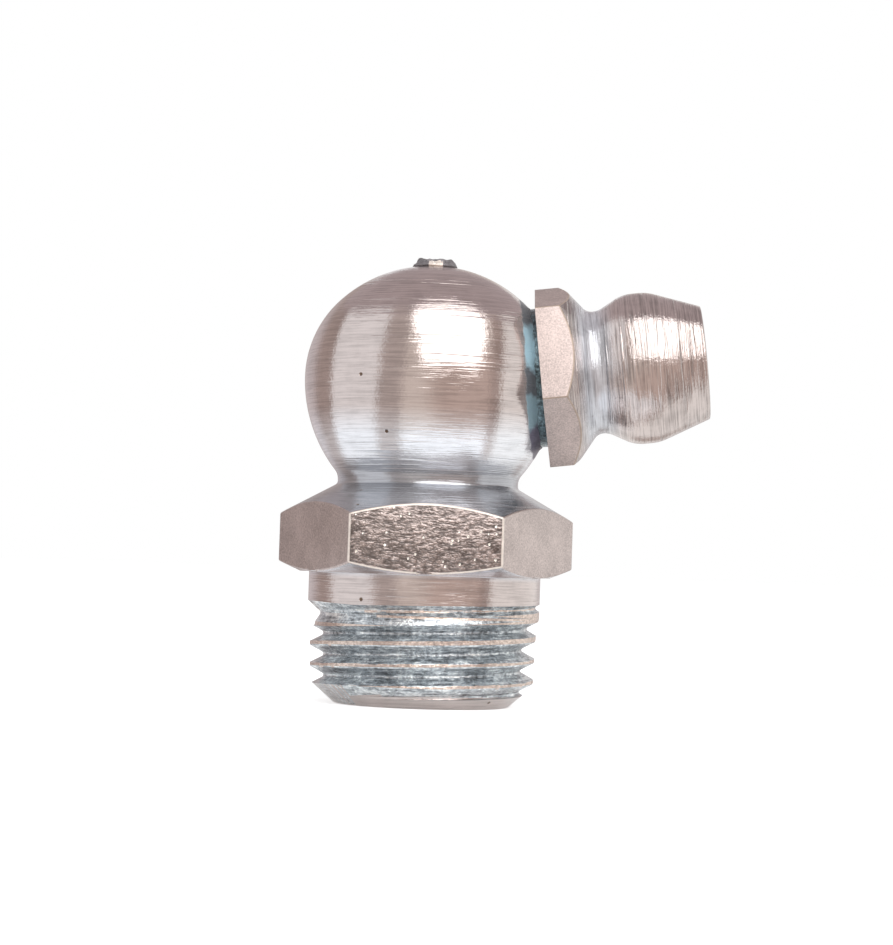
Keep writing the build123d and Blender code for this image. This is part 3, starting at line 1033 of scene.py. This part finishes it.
class NIPPLE_OT_nipple_head(bpy.types.Operator):
    """Models the nipple head: collar, coupling head, valve passage and threaded shank"""

    bl_idname = "nipple.nipple_head"
    bl_label = "Nipple Head"

    def execute(self, context):
        sizes = context.scene.nipple_head
        finish = context.scene.nipple_finish
        outline = head_outline(sizes)
        head = turned("nipple_head_turned", outline + outline[:1], clocking=COLLAR_CLOCKING)
        bar = hexagon_prism(sizes.across_flats / MILLIMETRE, COLLAR_CLOCKING, bottom=-4, top=8)
        cut(head, bar, "INTERSECT")
        break_edges(head, low=0.02, high=1.9, out=3.4, width=0.04)
        cut(head, self.shank_thread(sizes))
        mark_by(head, self.finish_index)
        smooth(head)
        place(head, branch_matrix(COLLAR_SEAT))
        zones = head_zones(finish)
        materials = [
            turned_metal("plated_turned_head", zones, 0.000024, 0.55, BRANCH_HEIGHT, 90 - HEAD_AXIS_RISE),
            grained_metal("plated_collar_flats", tuple(finish.bar), 15000, (1, 1, 1), 0.000006, 0.5),
            plain_metal("plated_collar_edges", (0.42, 0.33, 0.27), 0.35, 0.3),
            # painted shade: the shank's thread is the teal of the painted reflection, darkened
            thread_metal("shank_thread_painted_shade", scaled(finish.painted_gap_teal, 0.3)),
            # painted light: the collar's rear face, in the ball's shade, is near white and hardly metal
            grained_metal("collar_back_painted_light", (0.95, 0.88, 0.86), 1500, (1, 1, 1), 0.00001, 0.35, 0.1),
        ]
        finish_piece(head, "fitting", "nipple_head", materials)
        return {"FINISHED"}

    def finish_index(self, centre, normal):
        """Which of the head's finishes a face has, before the head is put in its place."""
        out = centre.to_2d().length
        on_back = abs(centre.z) < 0.01 and normal.z < -0.9
        on_shank = centre.z < -0.005 and out > 2
        on_collar = centre.z < 1.95 and out > 3.35
        if on_back:
            return COLLAR_BACK
        if on_shank:
            return SHANK_THREAD
        if on_collar:
            facing = max(normal.dot(flat) for flat in flat_directions(COLLAR_CLOCKING))
            if facing > FLAT_FACING:
                return COLLAR_FLAT
            if abs(slant(normal) - COLLAR_CONE_ANGLE) > CONE_SLACK:
                return COLLAR_EDGE
        return TURNED

    def shank_thread(self, sizes):
        """Groove of the shank's thread, which is lifted out just behind the collar."""
        pitch = sizes.shank_pitch / MILLIMETRE
        section = groove_section(pitch, crest_flat=0.13, root_arc=0.12, half_angle=30, depth=0.6, reach=0.5)

        def root(height):
            lifted = min(1, max(0, (height + SHANK_LIFT_START) / SHANK_LIFT_LENGTH))
            return SHANK_ROOT_RADIUS + height * THREAD_TAPER + SHANK_LIFT * lifted

        start = -math.tau * SHANK_THREAD_START / pitch
        turns = SHANK_THREAD_LENGTH / pitch
        return helix_cutter("shank_cutter", section, pitch, start, turns, root, steps=96)


# The spring, along the head's axis from the collar's seat and by the middle of its wire
SPRING_REAR = -2.63
SPRING_FRONT = 4.7437
SPRING_RADIUS = 1.05
WIRE_RADIUS = 0.15
SPRING_TURNS = (1, 6.2, 7.2)  # at which the rear coil ends, the front coil starts and the wire ends


class NIPPLE_OT_check_valve(bpy.types.Operator):
    """Models the check ball and its spring inside the head"""

    bl_idname = "nipple.check_valve"
    bl_label = "Check Valve"

    def execute(self, context):
        steel = plain_metal("polished_ball_steel", (0.6, 0.6, 0.6), 0.12)
        wire = plain_metal("drawn_spring_wire", (0.42, 0.42, 0.43), 0.3)
        low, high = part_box("check_ball")
        centre = (Vector(low) + Vector(high)) / 2 / MILLIMETRE
        radius = (high[2] - low[2]) / 2 / MILLIMETRE
        outline = [(max(0, x), z) for x, z in arc((0, 0), radius, -90, 90, 48)]
        ball = turned("check_ball_steel", outline, 96)
        smooth(ball, 40)
        place(ball, Matrix.Translation(centre))
        finish_piece(ball, "valve_ball", "check_ball", [steel])
        self.spring(wire)
        return {"FINISHED"}

    def spring(self, wire):
        full = SPRING_FRONT - SPRING_REAR
        heights = (2 * WIRE_RADIUS, full - 2 * WIRE_RADIUS, full)
        rises = [(0, 0), *zip(SPRING_TURNS, heights)]
        points = []
        for (turn, low), (end, high) in zip(rises, rises[1:]):
            steps = round((end - turn) * 24)
            for i in range(steps):
                share = i / steps
                angle = math.tau * (turn + (end - turn) * share)
                height = SPRING_REAR + low + (high - low) * share
                points.append((SPRING_RADIUS * math.cos(angle), SPRING_RADIUS * math.sin(angle), height))
        deselect_all()
        bpy.ops.curve.primitive_nurbs_path_add()
        path = bpy.context.object
        path.name = "valve_spring"
        path.data.splines.clear()
        line = path.data.splines.new("NURBS")
        line.points.add(len(points) - 1)
        for control, point in zip(line.points, points):
            control.co = (*point, 1)
        line.order_u = 3
        line.use_endpoint_u = True
        line.resolution_u = 2
        path.data.bevel_depth = WIRE_RADIUS
        path.data.bevel_resolution = 4
        path.data.use_fill_caps = True
        pick(path)
        bpy.ops.object.convert(target="MESH")
        smooth(path, 60)
        place(path, branch_matrix(COLLAR_SEAT))
        finish_piece(path, "fitting", "spring", [wire])
        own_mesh(path)


# ---------------------------------------------------------------- studio


# In metres, but for the lens
STUDIO_MIDDLE = 0.012  # height that the boards and the soft box are set round
DOME_RADIUS = 0.5
GROUND_RADIUS = 0.498
GROUND_WIDTH = 0.4905  # of the ring of boards on the floor, which leaves a hole for the object
GROUND_LIFT = 0.0002  # of the boards over the floor
FLOOR_GREY = 0.9
FLOOR_GLOW_TO_LENS = 0.62
FLOOR_GLOW_TO_METAL = 0.3
# Directions are shares to the right, to the front and upwards
LAMP_DIRECTION = (0.259, 0.658, 0.707)
LAMP_ACROSS = (0.963, -0.258, -0.082)
LAMP_DISTANCE = 0.3
LAMP_WIDTH = 0.31
LAMP_HEIGHT = 0.39
LAMP_WATTS = 0.8
CAMERA_ROLL = 1.903  # degrees about its own axis
CAMERA_DISTANCE = 0.11  # to the front of the body's axis
CAMERA_HEIGHT = 0.006
CAMERA_AIM_RIGHT = 0.008406  # slope of the lens's axis to the right
CAMERA_AIM_UP = 0.03656  # and upwards
FOCAL_LENGTH = 96.85  # millimetres


class NIPPLE_OT_studio(bpy.types.Operator):
    """Sets the floor, soft box, glowing boards that paint the reflections, world and camera"""

    bl_idname = "nipple.studio"
    bl_label = "Studio"

    def execute(self, context):
        self.floor()
        self.boards()
        self.soft_box()
        self.world(context)
        self.camera(context)
        return {"FINISHED"}

    def floor(self):
        """Pale floor that the lens sees as white, with the object's own soft shadow."""
        deselect_all()
        bpy.ops.mesh.primitive_plane_add(size=4)
        floor = bpy.context.object
        floor.name = "floor"
        material, tree, output = unlit_material("pale_floor")
        matt = tree.nodes.new("ShaderNodeBsdfDiffuse")
        matt.inputs["Color"].default_value = (FLOOR_GREY, FLOOR_GREY, FLOOR_GREY, 1)
        glow = tree.nodes.new("ShaderNodeEmission")
        path = tree.nodes.new("ShaderNodeLightPath")
        lens, metal = path.outputs["Is Camera Ray"], path.outputs["Is Glossy Ray"]
        seen = weighted(tree, (lens, FLOOR_GLOW_TO_LENS), (metal, FLOOR_GLOW_TO_METAL))
        tree.links.new(seen, glow.inputs["Strength"])
        both = tree.nodes.new("ShaderNodeAddShader")
        tree.links.new(matt.outputs[0], both.inputs[0])
        tree.links.new(glow.outputs[0], both.inputs[1])
        tree.links.new(both.outputs[0], output.inputs["Surface"])
        floor.data.materials.append(material)

    def boards(self):
        """Glowing boards round the object, over it and on the floor, which only reflections see: they paint
        the reflections in the metal.
        """
        deselect_all()
        bpy.ops.mesh.primitive_uv_sphere_add(segments=96, ring_count=48, radius=DOME_RADIUS)
        dome = bpy.context.object
        dome.name = "boards_round"
        bpy.ops.object.mode_set(mode="EDIT")
        bpy.ops.mesh.select_all(action="SELECT")
        lift = (0, 0, GROUND_LIFT)
        bpy.ops.mesh.bisect(plane_co=lift, plane_no=(0, 0, 1), clear_inner=True)
        bpy.ops.object.mode_set(mode="OBJECT")
        deselect_all()
        bpy.ops.mesh.primitive_circle_add(vertices=96, radius=GROUND_RADIUS, fill_type="NGON", location=lift)
        ground = bpy.context.object
        ground.name = "boards_on_floor"
        bpy.ops.object.mode_set(mode="EDIT")
        bpy.ops.mesh.select_all(action="SELECT")
        bpy.ops.mesh.inset(thickness=GROUND_WIDTH)
        bpy.ops.mesh.delete(type="FACE")
        bpy.ops.object.mode_set(mode="OBJECT")
        material = board_material()
        for board in (dome, ground):
            pick(board)
            bpy.ops.object.transform_apply(location=True, rotation=True, scale=True)
            board.data.materials.append(material)
            board.visible_camera = False
            board.visible_diffuse = False
            board.visible_shadow = False
            board.visible_transmission = False
            board.visible_volume_scatter = False

    def soft_box(self):
        """A large soft box to the right of the lens, above it and tilted towards the object."""
        away = studio_direction(*LAMP_DIRECTION)
        across = studio_direction(*LAMP_ACROSS)
        across = (across - away * across.dot(away)).normalized()
        deselect_all()
        bpy.ops.object.light_add(type="AREA")
        lamp = bpy.context.object
        lamp.name = "soft_box"
        lamp.data.shape = "RECTANGLE"
        lamp.data.size = LAMP_WIDTH
        lamp.data.size_y = LAMP_HEIGHT
        lamp.data.energy = LAMP_WATTS
        axes = Matrix((across, away.cross(across), away)).transposed().to_4x4()
        lamp.matrix_world = Matrix.Translation(away * LAMP_DISTANCE + Vector((0, 0, STUDIO_MIDDLE))) @ axes

    def world(self, context):
        """White for the lens and where metal or glass sees past the boards, plain pale light for the rest."""
        world = bpy.data.worlds.new("studio")
        context.scene.world = world
        world.use_nodes = True
        tree = world.node_tree
        light = tree.nodes["Background"]
        light.inputs["Color"].default_value = (1, 1, 1, 1)
        path = tree.nodes.new("ShaderNodeLightPath")
        seen = math_node(tree, "MAXIMUM", path.outputs["Is Camera Ray"], path.outputs["Is Glossy Ray"])
        seen = math_node(tree, "MAXIMUM", seen, path.outputs["Is Transmission Ray"])
        tree.links.new(math_node(tree, "MULTIPLY_ADD", seen, 0.5, 0.5), light.inputs["Strength"])

    def camera(self, context):
        """Long lens a little above the hexagon, turned slightly about its own axis."""
        roll = math.radians(CAMERA_ROLL)
        back = Vector((math.sin(VIEW_TURN), -math.cos(VIEW_TURN), 0))
        right = Vector((math.cos(VIEW_TURN), math.sin(VIEW_TURN), 0))
        up = Vector((0, 0, 1))
        rolled_right = right * math.cos(roll) + up * math.sin(roll)
        rolled_up = up * math.cos(roll) - right * math.sin(roll)
        look = (rolled_right * CAMERA_AIM_RIGHT + rolled_up * CAMERA_AIM_UP - back).normalized()
        across = look.cross(rolled_up).normalized()
        lens = bpy.data.cameras.new("camera")
        camera = bpy.data.objects.new("camera", lens)
        context.collection.objects.link(camera)
        axes = Matrix((across, across.cross(look), -look)).transposed()
        stand = back * CAMERA_DISTANCE + Vector((0, 0, CAMERA_HEIGHT))
        camera.matrix_world = Matrix.Translation(stand) @ axes.to_4x4()
        lens.lens = FOCAL_LENGTH
        lens.sensor_width = 36
        lens.clip_start = 0.01
        lens.clip_end = 20
        context.scene.camera = camera
        context.scene.view_settings.view_transform = "Standard"


def studio_direction(right, front, up):
    """A direction given as shares to the right, to the front and upwards of the studio's front."""
    across = Vector((math.cos(VIEW_TURN), math.sin(VIEW_TURN), 0))
    ahead = Vector((math.sin(VIEW_TURN), -math.cos(VIEW_TURN), 0))
    return (across * right + ahead * front + Vector((0, 0, up))).normalized()


def unlit_material(name):
    """A node material with nothing but its output."""
    material = bpy.data.materials.new(name)
    material.use_nodes = True
    tree = material.node_tree
    tree.nodes.clear()
    return material, tree, tree.nodes.new("ShaderNodeOutputMaterial")


# Round boards that glow and paint the reflections in the metal, each over the ones before it: the direction
# of its middle as shares to the right, to the front and upwards, half the angle that it fills in degrees,
# the softness of its edge, its colour
FRONT_CARD = (0.78, 0.70, 0.65)
FLOOR_CARD = (1.1, 1.1, 1.12)
BOARDS = (
    ((0.60, 0.78, -0.10), 38, 0.12, (0.64, 0.52, 0.47)),
    ((0.00, -0.159, -0.987), 64.9, 0.025, FLOOR_CARD),
    ((-0.97, -0.237, 0.054), 79.0, 0.03, (0.56, 0.49, 0.465)),
    ((-0.905, -0.423, 0.042), 67.3, 0.02, (0.98, 0.97, 0.98)),
    ((-0.659, -0.752, 0.018), 37.8, 0.02, (0.45, 0.37, 0.345)),
    ((-0.50, -0.86, 0.02), 20, 0.06, (0.66, 0.60, 0.61)),
    ((0.917, -0.394, -0.058), 59.7, 0.015, (0.45, 0.36, 0.33)),
    ((0.859, -0.503, -0.098), 55.3, 0.015, (1.0, 0.98, 0.96)),
    ((0.52, -0.69, -0.50), 12, 0.02, (0.50, 0.42, 0.39)),
    ((0.30, -0.95, 0.02), 14, 0.05, (0.60, 0.54, 0.54)),
    ((0.04, -0.43, 0.90), 42, 0.015, (0.49, 0.42, 0.425)),
)


def board_material():
    """Glowing card all round with round boards over it, unlit by the lamps: it paints the reflections in the
    metal.
    """
    material, tree, output = unlit_material("boards")
    middle = tree.nodes.new("ShaderNodeMapping")
    middle.inputs["Location"].default_value = (0, 0, -STUDIO_MIDDLE)
    tree.links.new(object_place(tree), middle.inputs["Vector"])
    heading = tree.nodes.new("ShaderNodeVectorMath")
    heading.operation = "NORMALIZE"
    tree.links.new(middle.outputs["Vector"], heading.inputs[0])
    colour = FRONT_CARD
    for direction, half_angle, softness, card in BOARDS:
        nearness = tree.nodes.new("ShaderNodeVectorMath")
        nearness.operation = "DOT_PRODUCT"
        tree.links.new(heading.outputs["Vector"], nearness.inputs[0])
        nearness.inputs[1].default_value = studio_direction(*direction)
        edge = math.cos(math.radians(half_angle))
        mask = step_up(tree, nearness.outputs["Value"], edge - softness, edge + softness)
        colour = mixed(tree, mask, colour, card)
    glow = tree.nodes.new("ShaderNodeEmission")
    tree.links.new(colour, glow.inputs["Color"])
    tree.links.new(glow.outputs[0], output.inputs["Surface"])
    return material


# ---------------------------------------------------------------- panel and start


class NIPPLE_PT_panel(bpy.types.Panel):
    """Sizes, finishes and pieces of the grease nipple"""

    bl_label = "Angle Grease Nipple"
    bl_idname = "NIPPLE_PT_panel"
    bl_space_type = "VIEW_3D"
    bl_region_type = "UI"
    bl_category = "Nipple"

    def draw(self, context):
        column = self.layout.column()
        for group in (context.scene.nipple_body, context.scene.nipple_head, context.scene.nipple_finish):
            for name in group.__annotations__:
                column.prop(group, name)
        for operator in OPERATORS:
            column.operator(operator.bl_idname)


OPERATORS = (NIPPLE_OT_elbow_body, NIPPLE_OT_nipple_head, NIPPLE_OT_check_valve, NIPPLE_OT_studio)
GROUPS = (NippleBodySizes, NippleHeadSizes, NippleFinish)


def register():
    """Registers the classes and their settings on the scene."""
    for kind in (*GROUPS, *OPERATORS, NIPPLE_PT_panel):
        bpy.utils.register_class(kind)
    bpy.types.Scene.nipple_body = bpy.props.PointerProperty(type=NippleBodySizes)
    bpy.types.Scene.nipple_head = bpy.props.PointerProperty(type=NippleHeadSizes)
    bpy.types.Scene.nipple_finish = bpy.props.PointerProperty(type=NippleFinish)


def unregister():
    """Takes the settings and classes away again."""
    del bpy.types.Scene.nipple_finish
    del bpy.types.Scene.nipple_head
    del bpy.types.Scene.nipple_body
    for kind in (NIPPLE_PT_panel, *reversed(OPERATORS), *reversed(GROUPS)):
        bpy.utils.unregister_class(kind)


def main():
    """Builds the pieces and the studio in order."""
    register()
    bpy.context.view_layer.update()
    bpy.ops.nipple.elbow_body()
    bpy.ops.nipple.nipple_head()
    bpy.ops.nipple.check_valve()
    bpy.ops.nipple.studio()


if __name__ == "__main__":
    main()
